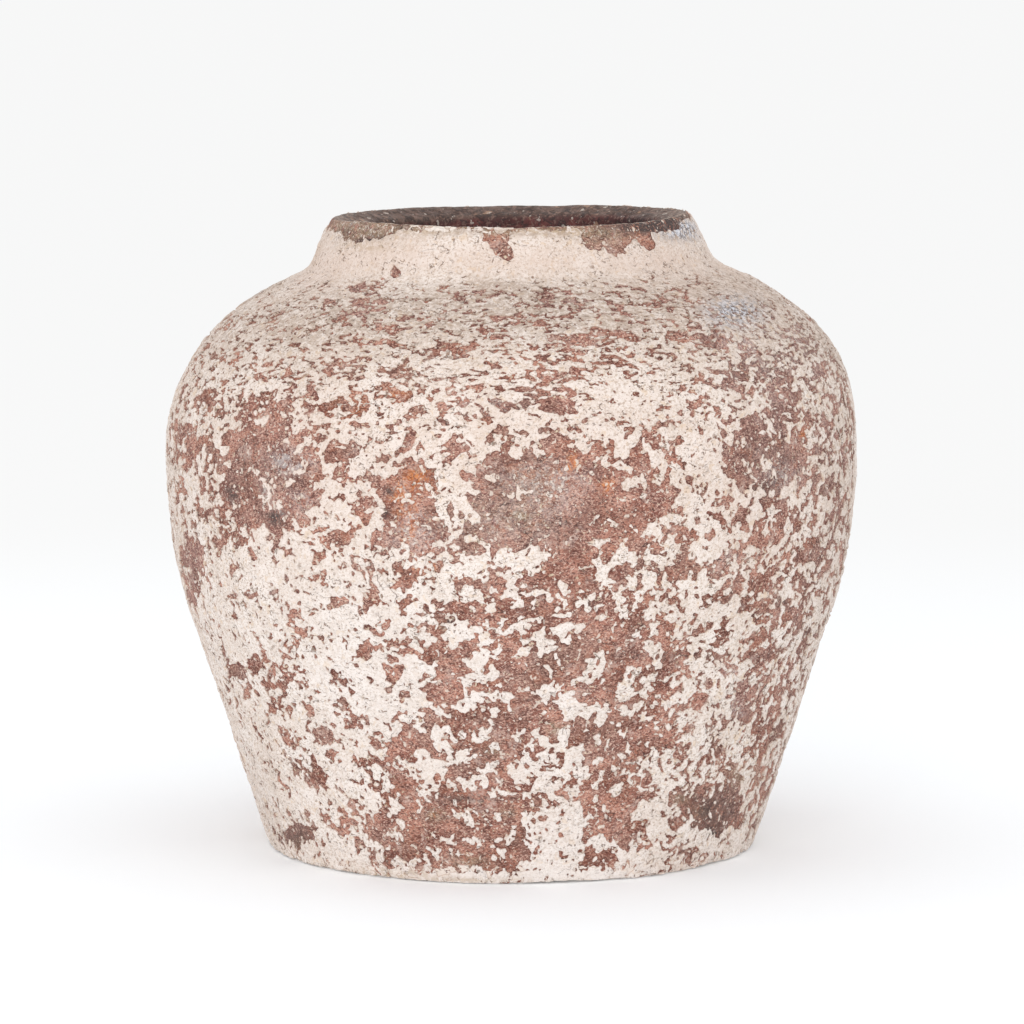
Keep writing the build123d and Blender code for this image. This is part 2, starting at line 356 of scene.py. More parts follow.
def speckle(material, size, detail=2.0, rough=0.5, distortion=0.0, stretch=(1, 1, 1), turn=(0, 0, 0)):
    """Random grain of a given size in metres, from 0 to 1, fixed to the object."""
    places = node(material, "TexCoord").outputs["Object"]
    placed = node(material, "Mapping", {"Vector": places, "Rotation": turn, "Scale": stretch})
    sockets = {"Vector": placed.outputs[0], "Scale": 1 / size, "Detail": detail}
    sockets |= {"Roughness": rough, "Distortion": distortion}
    return node(material, "TexNoise", sockets).outputs["Fac"]


def between(material, value, low, high, start=0.0, end=1.0):
    """Turns the range from low to high of a value into a smooth step from start to end."""
    sockets = {"Value": value, "From Min": low, "From Max": high, "To Min": start, "To Max": end}
    return node(material, "MapRange", sockets, interpolation_type="SMOOTHSTEP").outputs[0]


def times(material, first, second, operation="MULTIPLY"):
    """The product of two values, or another sum of them."""
    made = node(material, "Math", operation=operation)
    for index, value in enumerate((first, second)):
        if isinstance(value, bpy.types.NodeSocket):
            material.node_tree.links.new(value, made.inputs[index])
        else:
            made.inputs[index].default_value = value
    return made.outputs[0]


def tinted(material, share, under, over, way="MIX"):
    """One colour over another where the share says so."""
    made = node(material, "Mix", data_type="RGBA", blend_type=way, clamp_factor=True)
    # These of the node's sockets are the share and the two colours
    for index, value in ((0, share), (6, under), (7, over)):
        if isinstance(value, bpy.types.NodeSocket):
            material.node_tree.links.new(value, made.inputs[index])
        else:
            made.inputs[index].default_value = value if index == 0 else (*value, 1)
    return made.outputs[2]


def patchy(material, low, high, size, *grain):
    """Random patches of a given size: 0 where their grain is at the low value, 1 at the high one."""
    return between(material, speckle(material, size, *grain), low, high)


def layered(material, colour, *layers):
    """A colour with others laid over it in turn. Each layer: its share, strength and colour."""
    for share, strength, over in layers:
        colour = tinted(material, times(material, share, strength), colour, over)
    return colour


def without_sign(material, value):
    """The size of a value, whether it is above or below 0."""
    return node(material, "Math", {0: value}, operation="ABSOLUTE").outputs[0]


def cracks(material, grain, wide, fine, zones):
    """Thin cracks where a grain is at its middle value, in some zones only."""
    ridge = without_sign(material, times(material, grain, 0.5, "SUBTRACT"))
    return times(material, between(material, ridge, wide, fine), zones)


def relief(material, *parts):
    """The sum of the parts of a fine relief. Each part: its share, and its height, below 0 for pits."""
    total = times(material, *parts[0])
    for share, height in parts[1:]:
        total = times(material, total, times(material, share, height), "ADD")
    return total


def stain(material, name):
    """The share that is kept under a name on the vertices."""
    return node(material, "Attribute", attribute_name=name).outputs["Fac"]


def finish_surface(material, colour, roughness, height, distance):
    """Colour, roughness and fine relief of a dull surface."""
    bump = node(material, "Bump", {"Strength": 1.0, "Distance": distance, "Height": height})
    shader = material.node_tree.nodes["Principled BSDF"]
    shader.inputs["Specular IOR Level"].default_value = 0.25
    material.node_tree.links.new(colour, shader.inputs["Base Color"])
    material.node_tree.links.new(roughness, shader.inputs["Roughness"])
    material.node_tree.links.new(bump.outputs[0], shader.inputs["Normal"])


# Bare clay: reddish brown and dry, speckled with sand, stained by rust, soot, tan and salts
bare_clay = bpy.data.materials.new("bare_clay")
bare_clay.use_nodes = True
dark_brick, light_brick = (0.250, 0.098, 0.072), (0.485, 0.232, 0.172)
dark_rust, light_rust = (0.420, 0.115, 0.040), (0.680, 0.255, 0.090)
tone = tinted(bare_clay, patchy(bare_clay, 0.42, 0.58, 0.016, 4, 0.6), dark_brick, light_brick)
rust_tone = tinted(bare_clay, patchy(bare_clay, 0.42, 0.58, 0.0025, 3, 0.6, 0.5), dark_rust, light_rust)
grey_zones = patchy(bare_clay, 0.50, 0.62, 0.026, 4, 0.6, 0.5, (1, 1, 1), (0.4, 1.1, 0.2))
tan_patches = patchy(bare_clay, 0.36, 0.50, 0.0028, 3, 0.6, 0.6)
rust_patches = patchy(bare_clay, 0.43, 0.55, 0.0036, 4, 0.65, 1.2, (1, 1, 0.6), (0.3, 0.6, 0))
ash_patches = patchy(bare_clay, 0.42, 0.60, 0.0040, 4, 0.65, 1.0)
tan_share = times(bare_clay, stain(bare_clay, "tan"), tan_patches)
rust_share = times(bare_clay, stain(bare_clay, "rust"), rust_patches)
ash_share = times(bare_clay, stain(bare_clay, "ash"), ash_patches)
tone = layered(
    bare_clay,
    tone,
    (grey_zones, 0.55, (0.225, 0.140, 0.116)),
    (stain(bare_clay, "purple"), 0.75, (0.285, 0.168, 0.158)),
    (tan_share, 1, (0.350, 0.245, 0.168)),
    (rust_share, 1, rust_tone),
    (ash_share, 0.95, (0.405, 0.345, 0.325)),
)
# Each grain: size in metres, squeeze in height, where its noise starts and is full, strength, colour
for size, squeeze, start, full, strength, colour in (
    (0.0070, 1.0, 0.54, 0.62, 0.55, (0.440, 0.190, 0.125)),
    (0.0055, 1.5, 0.47, 0.38, 0.75, (0.155, 0.064, 0.052)),
    (0.0026, 1.5, 0.52, 0.62, 0.50, (0.540, 0.345, 0.280)),
    (0.0011, 1.6, 0.51, 0.61, 0.80, (0.720, 0.485, 0.395)),
    (0.0012, 1.6, 0.49, 0.38, 0.85, (0.115, 0.048, 0.040)),
    (0.0021, 1.0, 0.645, 0.675, 0.80, (0.740, 0.620, 0.470)),
):
    turn = (40 * size, 900 * size, 0)
    grain = patchy(bare_clay, start, full, size, 3, 0.6, 0.3, (1, 1, squeeze), turn)
    tone = layered(bare_clay, tone, (grain, strength, colour))
# Broad zones came darker out of the kiln
burnt_zones = patchy(bare_clay, 0.47, 0.58, 0.024, 4, 0.6, 0.4, (1, 1, 1), (1.2, 0.5, 0.3))
burnt_share = times(bare_clay, burnt_zones, 0.50)
tone = tinted(bare_clay, burnt_share, tone, (0.600, 0.500, 0.460), "MULTIPLY")
pale_flecks = patchy(bare_clay, 0.57, 0.65, 0.0017, 3, 0.6, 0.8, (1, 1, 1), (0.7, 0.2, 0.51))
dark_flecks = patchy(bare_clay, 0.45, 0.37, 0.0020, 3, 0.6, 0.8, (1, 1, 1), (0.7, 0.2, 0.60))
ash_dots = times(bare_clay, stain(bare_clay, "ash"), patchy(bare_clay, 0.56, 0.64, 0.0014))
crack_grain = speckle(bare_clay, 0.018, 3, 0.6, 0.5, (1, 1, 1), (0.9, 0.1, 0.5))
crack_zones = patchy(bare_clay, 0.55, 0.60, 0.010, 2, 0.5, 0.0, (1, 1, 1), (0.2, 0.7, 0.1))
clay_cracks = cracks(bare_clay, crack_grain, 0.0050, 0.0015, crack_zones)
soot_patches = patchy(bare_clay, 0.37, 0.51, 0.0018, 3, 0.65, 0.6)
chalk_edge = patchy(bare_clay, 0.38, 0.62, 0.005, 4, 0.65, 0.6)
# Chalk, partly painted light at the foot
chalk_and_light_share = between(bare_clay, times(bare_clay, stain(bare_clay, "chalk_and_light"), chalk_edge, "ADD"), 1.03, 1.15)
# A thin film of washed-off lime lies on the clay here and there
film_zones = patchy(bare_clay, 0.56, 0.66, 0.011, 3, 0.6, 0.4, (1, 1, 1), (0.8, 0.3, 1.1))
film_share = times(bare_clay, film_zones, patchy(bare_clay, 0.40, 0.60, 0.0018, 3, 0.7, 0.5))
lime_dots = patchy(bare_clay, 0.64, 0.665, 0.0026)
tone = layered(
    bare_clay,
    tone,
    (rust_share, 0.55, rust_tone),
    (ash_share, 0.45, (0.560, 0.500, 0.495)),
    (tan_share, 0.5, (0.290, 0.202, 0.130)),
    (times(bare_clay, tan_share, pale_flecks), 0.8, (0.720, 0.650, 0.570)),
    (times(bare_clay, tan_share, dark_flecks), 0.8, (0.130, 0.078, 0.055)),
    (ash_dots, 0.8, (0.760, 0.700, 0.640)),
    (clay_cracks, 0.8, (0.090, 0.050, 0.045)),
    (times(bare_clay, stain(bare_clay, "dark"), soot_patches), 1, (0.082, 0.060, 0.056)),
    # Chalk, made paler as painted light at the foot
    (chalk_and_light_share, 1, (0.84, 0.75, 0.68)),
    (film_share, 0.55, (0.620, 0.470, 0.410)),
    (lime_dots, 0.85, (0.70, 0.60, 0.52)),
)
clay_bump = relief(
    bare_clay,
    (speckle(bare_clay, 0.0015, 2, 0.65, 0.9), 0.8),
    (speckle(bare_clay, 0.0045, 3, 0.6), 0.9),
    (clay_cracks, -0.5),
)
clay_dullness = between(bare_clay, speckle(bare_clay, 0.004, 3), 0.4, 0.6, 0.78, 0.95)
finish_surface(bare_clay, tone, clay_dullness, clay_bump, 0.0008)

# Inside and lip: rubbed and stained brown and grey on the bevel, with painted shade in dark brown and dark
# red below it in the throat
dark_inside = bpy.data.materials.new("dark_inside")
dark_inside.use_nodes = True
dark_stain, pale_stain, rubbed_clay = (0.090, 0.056, 0.046), (0.150, 0.098, 0.080), (0.300, 0.222, 0.182)
# The throat's dark reds are painted shade, where the inside of the jar lies in shadow
throat_shade_red, throat_shade_dull_red = (0.112, 0.048, 0.046), (0.178, 0.061, 0.056)
place = node(dark_inside, "SeparateXYZ", {"Vector": node(dark_inside, "TexCoord").outputs["Object"]})
# The painted shade of the throat starts at a height that follows the lean of the lip
tilt = times(dark_inside, place.outputs["X"], 0.035)
level_height = times(dark_inside, place.outputs["Z"], tilt, "SUBTRACT")
deep = between(dark_inside, level_height, 0.2968, 0.2935)
bevel = tinted(dark_inside, patchy(dark_inside, 0.42, 0.58, 0.012, 3, 0.6), dark_stain, pale_stain)
throat = tinted(dark_inside, patchy(dark_inside, 0.45, 0.56, 0.014, 3, 0.6), throat_shade_red, throat_shade_dull_red)
towards_sides = between(dark_inside, without_sign(dark_inside, place.outputs["X"]), 0.062, 0.084)
rubbed_share = times(dark_inside, towards_sides, patchy(dark_inside, 0.4, 0.56, 0.003, 3, 0.6))
bevel = tinted(dark_inside, rubbed_share, bevel, rubbed_clay)
# Below the bevel the throat takes its painted shade
shade = tinted(dark_inside, deep, bevel, throat)
# The throat is painted darker towards its right end, as painted shade, and well below it the inside is plain
# clay again
right_throat_shade = times(dark_inside, deep, between(dark_inside, place.outputs["X"], 0.034, 0.054))
far_down = between(dark_inside, place.outputs["Z"], 0.278, 0.255)
white_dots = patchy(dark_inside, 0.67, 0.69, 0.0034, 2, 0.5, 0.0, (1, 1, 1), (0.3, 0.3, 0.9))
worn_patches = patchy(dark_inside, 0.40, 0.52, 0.0028, 3, 0.6)
shade = layered(
    dark_inside,
    shade,
    # Painted shade at the right end of the throat
    (right_throat_shade, 0.75, (0.040, 0.024, 0.025)),
    (far_down, 0.8, (0.270, 0.130, 0.095)),
    (patchy(dark_inside, 0.51, 0.62, 0.0018, 3, 0.6, 0.8), 0.60, (0.290, 0.180, 0.145)),
    (patchy(dark_inside, 0.50, 0.38, 0.0024, 3, 0.6, 0.8), 0.7, (0.045, 0.033, 0.032)),
    (patchy(dark_inside, 0.66, 0.70, 0.007), 0.6, (0.45, 0.28, 0.19)),
    (white_dots, 0.7, (0.60, 0.52, 0.46)),
    (times(dark_inside, stain(dark_inside, "crest"), worn_patches), 1, (0.60, 0.49, 0.41)),
)
inside_bump = times(dark_inside, speckle(dark_inside, 0.0022, 3, 0.6, 0.8), 0.8)
inside_dullness = between(dark_inside, speckle(dark_inside, 0.004, 3), 0.4, 0.6, 0.60, 0.85)
finish_surface(dark_inside, shade, inside_dullness, inside_bump, 0.0006)

# The disc, from the middle of the underside out over the heel and up to the first seam
slab_runs = np.linspace(0, run_at(foot_seam), 96)
floor_line, _ = rounded([(0.1105, foot_seam), (0.1085, base_thickness), (0, base_thickness)], [0.008], 0.003)
floor_rows = [(r, z, 0.0, 1.0, inner_roughness) for r, z in floor_line[1:]]
thrown("base_slab_clay", section(slab_runs, inward(slab_runs[-1:]) + floor_rows), 420)

# Lower wall
# The flaring clay wall between the slab and the seam halfway up the belly.
girdle_seam = 0.0945
row_pitch = 0.0015


def wall_rows(low, high):
    """The half section of a stretch of wall between two heights."""
    runs = np.linspace(run_at(low), run_at(high), ceil((run_at(high) - run_at(low)) / row_pitch) + 1)
    return section(runs, inward(runs[::2] if len(runs) % 2 else np.append(runs[::2], runs[-1])))


thrown("lower_wall_clay", wall_rows(foot_seam, girdle_seam), 620)

# Belly wall
# The clay wall from the seam up to the widest ring. The largest bare patches of the front lie
# on it.
belly_ring = 0.189
thrown("belly_wall_clay", wall_rows(girdle_seam, belly_ring), 680)

# Shoulder wall and crown
# Two rings that close the pot over the widest ring, thrown on an axis that leans a little.
shoulder_seam = 0.239
thrown("shoulder_wall_clay", wall_rows(belly_ring, shoulder_seam), 680)
thrown("shoulder_crown_clay", wall_rows(shoulder_seam, neck_corner[1]), 600)

# Neck collar
# A short hollow-curved ring under the lip, bored straight inside.
lip_seam = 0.285
collar_bore = 0.079
bore_top = 0.279
collar_runs = np.linspace(run_at(neck_corner[1]), run_at(lip_seam), 9)
collar_inside = [
    (collar_bore, bore_top, -1, 0, inner_roughness),
    (collar_bore, bore_top - 0.003, -1, 0, inner_roughness),
    (0.0805, 0.2715, -0.8, -0.5, inner_roughness),
    (0.085, 0.2694, -0.4, -0.9, inner_roughness),
]
collar_inside += inward(collar_runs[:1])
thrown("neck_collar_clay", section(collar_runs, collar_inside), 460)

# Rim lip
# The thick lip with its bevel down to the throat. Use has rubbed it brown and grey.
throat_foot = 0.284
nose_bend = 0.0026
bore_bend = 0.0015
lip_corners = [crest_corner, nose_corner, (nose_corner[0], throat_foot), (collar_bore, bore_top)]
lip_line, lip_run = rounded(lip_corners, [nose_bend, bore_bend], 0.0008)
bevel_start = 0.0055
lip_start = np.searchsorted(lip_run, bevel_start)
lip_way = np.gradient(lip_line, lip_run, axis=0)
lip_runs = np.linspace(run_at(lip_seam), crest_run + 0.0035, 26)
lip_rest = zip(lip_line[lip_start:], lip_way[lip_start:])
lip_roughness = 0.8
lip_inside = [(r, z, up, -over, lip_roughness) for (r, z), (over, up) in lip_rest]
lip_rows = section(lip_runs, lip_inside)
# The crest is a little less rough than the outside, so it takes the finish of the inside
crest_roughness = 0.95
lip_rows[: len(lip_runs), 4] = np.where(lip_runs > crest_run - 0.001, crest_roughness, 1.0)
thrown("rim_lip_clay", lip_rows, 520)

# Lime coat
# Brushed on about a millimetre thick over the outside, from just above the heel to just under
# the crest. It has flaked off in crisp ragged patches, down to the clay.
coat_foot = 0.0012
coat_top = 0.2990
coat_thickness = 0.0008
chalky_lime = bpy.data.materials.new("chalky_lime")
chalky_lime.use_nodes = True
# The pattern of flakes is drawn closer on the level part of the shoulder
level_share = np.clip((outside[:, 1] - 0.205) / 0.03, 0, 1) * np.clip((0.282 - outside[:, 1]) / 0.01, 0, 1)
pattern_run = np.cumsum(1 + 1.1 * level_share) * outside_run[1]


def patches(across, down, rows):
    """Sums oval patches, full out to 0.7 of their half sizes and gone at 1.3."""
    total = np.zeros(len(across))
    for x, y, wide, tall, tilt, strength in rows:
        turned_across = (across - x) * cos(radians(tilt)) - (down - y) * sin(radians(tilt))
        turned_down = (across - x) * sin(radians(tilt)) + (down - y) * cos(radians(tilt))
        far = np.sqrt((turned_across / wide) ** 2 + (turned_down / tall) ** 2)
        total += eased((1.3 - far) / 0.6, strength)
    return total


# Patches that have lost their lime (strength below 0) or kept it, listed one by one. Each row:
# pixels across and down in the photograph, half width, half height, tilt in degrees, strength
front_patches = [
    # Broad regions
    (512, 235, 260, 45, 0, 3.2), (450, 262, 260, 24, 0, 1.6), (430, 320, 260, 46, 0, 0.6),
    (270, 700, 110, 190, 0, 0.9), (230, 560, 70, 90, 0, 0.4), (487, 755, 80, 110, 0, -1.2),
    (700, 700, 130, 180, 0, -0.7), (690, 345, 190, 50, 0, -0.2), (790, 400, 60, 90, 0, -0.3),
    (760, 560, 90, 60, 0, -0.5), (360, 560, 110, 60, 0, 0.2), (480, 555, 110, 50, 0, -0.7),
    (530, 650, 90, 80, 0, -1.0), (610, 700, 90, 110, 0, -0.5), (540, 825, 190, 45, 0, -0.8),
    (400, 815, 80, 50, 0, -0.8), (600, 590, 70, 60, 0, -0.6), (370, 430, 50, 40, 0, 0.9),
    (450, 440, 40, 40, 0, 0.4), (690, 375, 110, 50, 0, 0.6), (790, 310, 80, 50, 0, 1.2),
    (720, 610, 30, 90, 0, 0.9), (395, 690, 34, 80, 0, 0.9), (350, 362, 70, 22, 0, 0.5),
    (550, 378, 90, 22, 0, 0.4), (840, 450, 24, 120, 0, -0.5), (190, 500, 20, 60, 0, -0.5),
    (440, 600, 36, 10, 0, 1.2), (412, 730, 30, 12, 0, 0.9), (550, 370, 24, 16, 0, 1.0),
    (480, 460, 16, 30, 0, 0.9), (300, 475, 14, 14, 0, 0.8), (770, 425, 17, 18, 0, 0.9),
    (615, 550, 22, 60, 0, 0.6), (625, 780, 18, 28, 0, 0.9), (335, 565, 22, 20, 0, 0.7),
    (530, 878, 180, 6, 0, 1.8), (685, 555, 12, 20, 0, 0.5), (750, 525, 14, 14, 0, 0.6),
    (270, 680, 12, 20, 0, 0.5), (830, 390, 14, 40, 0, 0.5), (770, 345, 40, 26, 0, -0.7),
    (615, 435, 18, 26, 0, -0.9), (172, 460, 12, 50, 0, -0.8), (240, 535, 30, 18, 0, -0.5),
    (445, 480, 14, 20, 0, -0.9), (500, 560, 40, 14, 0, -0.6), (520, 620, 40, 22, 0, -0.7),
    (580, 735, 50, 22, 0, -0.8), (520, 760, 30, 16, 0, -0.7), (630, 840, 34, 16, 0, -1.0),
    (580, 830, 16, 20, 0, -0.5), (750, 750, 24, 60, 0, -0.9), (280, 830, 20, 16, 0, -0.7),
    (705, 500, 14, 40, 0, -0.6), (500, 295, 60, 10, 0, -0.6), (220, 320, 30, 14, 0, -0.4),
    (350, 360, 20, 30, 0, -0.5), (205, 610, 14, 40, 0, -0.5),
    # Lip and collar
    (368, 221, 46, 14, 0, -9), (366, 236, 20, 8, 0, -7), (493, 240, 14, 8, 0, -9), (504, 253, 9, 9, 0, -8),
    (488, 230, 26, 3, 0, 6), (622, 234, 38, 11, 8, -9), (603, 242, 24, 9, 0, -9), (616, 250, 10, 8, 0, -7),
    (646, 243, 8, 8, 0, -7), (664, 225, 18, 7, 0, -6), (632, 250, 4, 6, 0, 6), (396, 270, 6, 9, 0, -7),
    (448, 229, 36, 2, 0, -5), (683, 216, 16, 4, 0, -7),
    # Shoulder
    (370, 288, 24, 6, 18, -2.9), (329, 304, 7, 9, 0, -2.7), (370, 306, 19, 6, 8, -2.7),
    (340, 322, 13, 4, 0, -2.4), (395, 325, 18, 6, 0, -2.3), (390, 343, 20, 5, -5, -2.2),
    (448, 349, 31, 6, 0, -2.3), (492, 337, 18, 4, -4, -2.3), (506, 320, 17, 4, 0, -2.2),
    (344, 367, 19, 9, 5, -1.8), (405, 372, 19, 4, 0, -2), (391, 395, 17, 13, 0, -1.9),
    (350, 410, 22, 15, 0, -1.8), (280, 408, 40, 16, 0, -1.1), (211, 404, 13, 12, 0, -1.6),
    (597, 338, 48, 9, 0, -2), (580, 362, 50, 17, 5, -1.3), (698, 339, 33, 9, 0, -1.8),
    (722, 378, 24, 14, 0, -1.5), (779, 402, 15, 33, 0, -1.4), (780, 345, 62, 50, 0, -0.6),
    (556, 300, 30, 10, 0, -1.5), (640, 302, 40, 7, 0, -1.4), (470, 291, 22, 8, 0, -1.1),
    # Belly
    (268, 486, 50, 58, 0, -2.4), (244, 440, 22, 14, 0, -1.6), (346, 448, 17, 16, 0, -1.9),
    (410, 438, 8, 11, 0, -2), (455, 452, 17, 14, 0, -1.9), (386, 457, 9, 7, 0, -1.8),
    (413, 492, 34, 26, 0, -2), (405, 540, 28, 28, 0, -1.4), (536, 490, 66, 58, 0, -2.6),
    (610, 508, 56, 46, 0, -1.8), (660, 480, 24, 30, 0, -0.8), (548, 403, 32, 26, 0, -1.8),
    (533, 423, 26, 18, 0, 3), (610, 418, 33, 26, 0, 1.5), (701, 470, 24, 40, 0, 1.6),
    (765, 454, 42, 45, 0, -1.5), (453, 500, 16, 30, 15, 1.8), (470, 568, 70, 14, 0, 1.1),
    (574, 560, 24, 20, 0, -1.1), (480, 595, 36, 10, 0, 1),
    # Lower left
    (194, 570, 10, 36, 0, -2.9), (215, 544, 8, 8, 0, -2.4), (333, 541, 17, 6, 0, -2.4),
    (323, 563, 7, 16, 0, -2.3), (339, 599, 8, 8, 0, -2.6), (297, 623, 12, 10, 0, -2.7),
    (379, 626, 11, 9, 0, -2.7), (367, 650, 11, 9, 0, -2.7), (400, 647, 11, 10, 0, -2.6),
    (391, 675, 11, 17, 0, -2.7), (283, 662, 8, 6, 0, -2.6), (259, 660, 8, 10, 0, -2.6),
    (239, 671, 11, 10, 0, -2.4), (276, 678, 19, 10, 0, -2.4), (250, 693, 9, 8, 0, -2.4),
    (278, 700, 8, 9, 0, -2.6), (420, 726, 13, 19, 0, -2.3), (402, 742, 32, 13, 0, -2.6),
    (322, 734, 12, 9, 0, -2.7), (293, 740, 9, 8, 0, -2.7), (311, 773, 16, 14, 0, -2.6),
    (296, 836, 16, 11, 0, -3), (477, 583, 22, 5, 0, -2.4),
    # Lower centre
    (456, 638, 15, 9, 0, 2.3), (484, 672, 20, 32, 0, 2.2), (528, 630, 22, 10, 0, 2.3),
    (571, 635, 16, 15, 0, 1.8), (535, 652, 8, 6, 0, 1.9), (558, 698, 19, 24, 0, 2.3),
    (599, 667, 14, 17, 0, 1.9), (628, 678, 11, 17, 0, 1.8), (590, 713, 17, 10, 0, 1.9),
    (463, 700, 8, 9, 0, 1.9), (493, 714, 12, 6, 0, 2), (426, 729, 28, 9, -35, 2.4),
    (489, 731, 11, 5, 0, 1.9), (486, 750, 17, 7, 0, 2.2), (552, 766, 35, 34, 0, 2.4),
    (511, 771, 10, 5, 0, 2), (428, 777, 18, 20, 0, 2), (471, 781, 15, 11, 0, 2), (556, 828, 34, 28, 0, 2.3),
    (475, 817, 29, 9, 0, 2.2), (451, 838, 7, 11, 0, 2), (539, 862, 20, 8, 0, 2.4), (606, 844, 9, 5, 0, 2),
    (638, 858, 13, 12, 0, 2),
    # Lower right
    (654, 599, 54, 30, 0, 1), (524, 579, 24, 30, 0, 1), (570, 624, 18, 24, 0, 0.8),
    (700, 696, 30, 44, 0, 1.2), (676, 772, 27, 19, 0, 1.6), (660, 832, 32, 36, 0, 1.9),
    (718, 842, 34, 14, 0, 1.9), (739, 749, 15, 34, 12, 1.6), (714, 808, 29, 22, 0, -2.2),
    (684, 658, 84, 6, 3, -1.5), (636, 742, 30, 26, 0, -0.5), (330, 850, 60, 14, 0, 1.1),
]
# The same for the unseen sides and back. Each row: azimuth in degrees, height, half width and
# half height in millimetres, strength
back_patches = [
    (88, 117, 27, 22, -3), (112, 53, 29, 25, -3), (146, 159, 27, 26, -3), (176, 79, 34, 30, -3.2),
    (203, 180, 30, 19, -3), (228, 51, 23, 29, -3), (250, 132, 24, 17, -3), (270, 72, 16, 14, -3),
    (86, 259, 19, 8, -3), (113, 229, 26, 9, -3), (140, 256, 24, 9, -3), (167, 237, 21, 11, -3),
    (192, 263, 22, 6, -3), (220, 240, 29, 14, -3), (248, 222, 17, 9, -3), (274, 252, 22, 8, -3),
    (108, 292, 12, 7, -6), (158, 295, 17, 6, -6), (214, 290, 11, 8, -6), (262, 296, 18, 5, -6),
]


def lime_cover(around, run):
    """How firmly the lime holds at an azimuth and a run: it has flaked off where this is below 0."""
    shape = on_outside(run)
    radius, height = shape[:, 0], shape[:, 1]
    points = leaned(np.column_stack([radius * np.sin(around), -radius * np.cos(around), height]))
    across, down = in_photo(points)
    # 1 where the photograph shows the surface, down to 0 where it is hidden or edge on
    facing = shape[:, 2] * np.cos(around) * cos(camera_pitch) + shape[:, 3] * sin(camera_pitch)
    seen = np.clip((facing - 0.03) / 0.14, 0, 1)
    # The listed outlines are frayed by about 5 pixels
    fray = swirls(points, 0.0085) * 7
    fray += swirls(points, 0.0032, 5) * 3
    across, down = across + fray[:, 0], down + fray[:, 1]
    sound_lime = 0.55
    front = patches(across, down, front_patches)
    degrees = (np.degrees(around) + 60) % 360 - 60
    back = 0.5 + 0.75 * waves(points, 0.075, 2, 0.8, 21.0)
    for azimuth, middle, wide, tall, strength in back_patches:
        away = (degrees - azimuth) * radius * 1000 * pi / 180
        back += patches(away, height * 1000, [(0, middle, wide, tall, 0, strength)])
    back += 2.6 * np.clip((height - 0.268) / 0.012, 0, 1)
    hold = (sound_lime + front) * seen + back * (1 - seen)
    # The brush stopped raggedly at the crest and at the heel
    crest_edge, crest_fade, heel_edge = 0.2962, 0.0024, 0.006
    near_crest = np.clip((height - crest_edge) / crest_fade, 0, 1)
    near_heel = np.clip((heel_edge - height) / heel_edge, 0, 1)
    hold -= 4.5 * near_crest + 0.7 * near_heel
    # Flaking runs level on the shoulder, where the brush and the thrower's rings ran
    pattern_radius = 0.15
    level_run = np.interp(run, outside_run, pattern_run)
    places = np.column_stack([pattern_radius * np.sin(around), -pattern_radius * np.cos(around), level_run])
    bend = swirls(places, 0.011) * 0.0026
    nips = swirls(places, 0.0017) * 0.0008
    places = places + bend + nips
    coarse = waves(places, 0.0095, 3, 0.6, 2.0)
    fine = waves(places, 0.0040, 2, 0.8, 9.0)
    crumbs = waves(places, 0.0019, 1, 0.8, 14.0)
    # Grit loosens more of it on the level part of the shoulder and low on the right
    level = np.interp(run, outside_run, level_share)
    low_right = 0.25 * np.clip((across - 560) / 80, 0, 1) * np.clip((down - 540) / 60, 0, 1)
    grit_share = 1.0 + 0.3 * level + low_right
    cover = hold + 0.06 * level + coarse + grit_share * fine + 0.55 * crumbs
    # Small flakes have dropped out of the sound lime as well, all over the pot but not on its neck
    chips = waves(places, 0.0050, 3, 0.6, 31.0) + 1.50 + 2 * np.clip((height - 0.262) / 0.008, 0, 1)
    return np.minimum(cover, 1.3 * chips + 0.9 * crumbs)


# A sheet of lime is cut at a scale of about 1 to 1 between its sides and its cover
sheet_scale = 10


def cut_sheet(name, start, end, first, last, pitch):
    """Unrolled lime, azimuths by runs, cut where it has flaked off, with a rim of its own at each cut."""
    breadth = np.interp((start + end) / 2, outside_run, outside[:, 0])
    columns = ceil((last - first) * breadth / pitch)
    rows = ceil((end - start) / pitch)
    bpy.ops.object.select_all(action="DESELECT")
    bpy.ops.mesh.primitive_grid_add(x_subdivisions=columns, y_subdivisions=rows, size=2)
    piece = bpy.context.object
    piece.name = piece.data.name = name
    sheet = read_points(piece)
    sheet[:, 0] = first + (sheet[:, 0] + 1) / 2 * (last - first)
    sheet[:, 1] = start + (sheet[:, 1] + 1) / 2 * (end - start)
    sheet[:, 2] = lime_cover(sheet[:, 0], sheet[:, 1])
    sheet[:, 1] *= sheet_scale
    write_points(piece, sheet)
    bpy.ops.object.mode_set(mode="EDIT")
    bpy.ops.mesh.select_all(action="SELECT")
    bpy.ops.mesh.bisect(plane_co=(0, 0, 0), plane_no=(0, 0, 1), clear_inner=True, threshold=0.000001)
    bpy.ops.object.mode_set(mode="OBJECT")
    sheet = read_points(piece)
    keep_share(piece, "cover", sheet[:, 2])
    sheet[:, 2] = 1
    write_points(piece, sheet)
    bpy.ops.object.mode_set(mode="EDIT")
    bpy.ops.mesh.select_mode(type="EDGE")
    bpy.ops.mesh.select_all(action="DESELECT")
    bpy.ops.mesh.select_non_manifold(
        extend=False, use_wire=False, use_multi_face=False, use_non_contiguous=False, use_verts=False
    )
    bpy.ops.mesh.extrude_edges_move(TRANSFORM_OT_translate={"value": (0, 0, -1)})
    bpy.ops.object.mode_set(mode="OBJECT")
    return piece


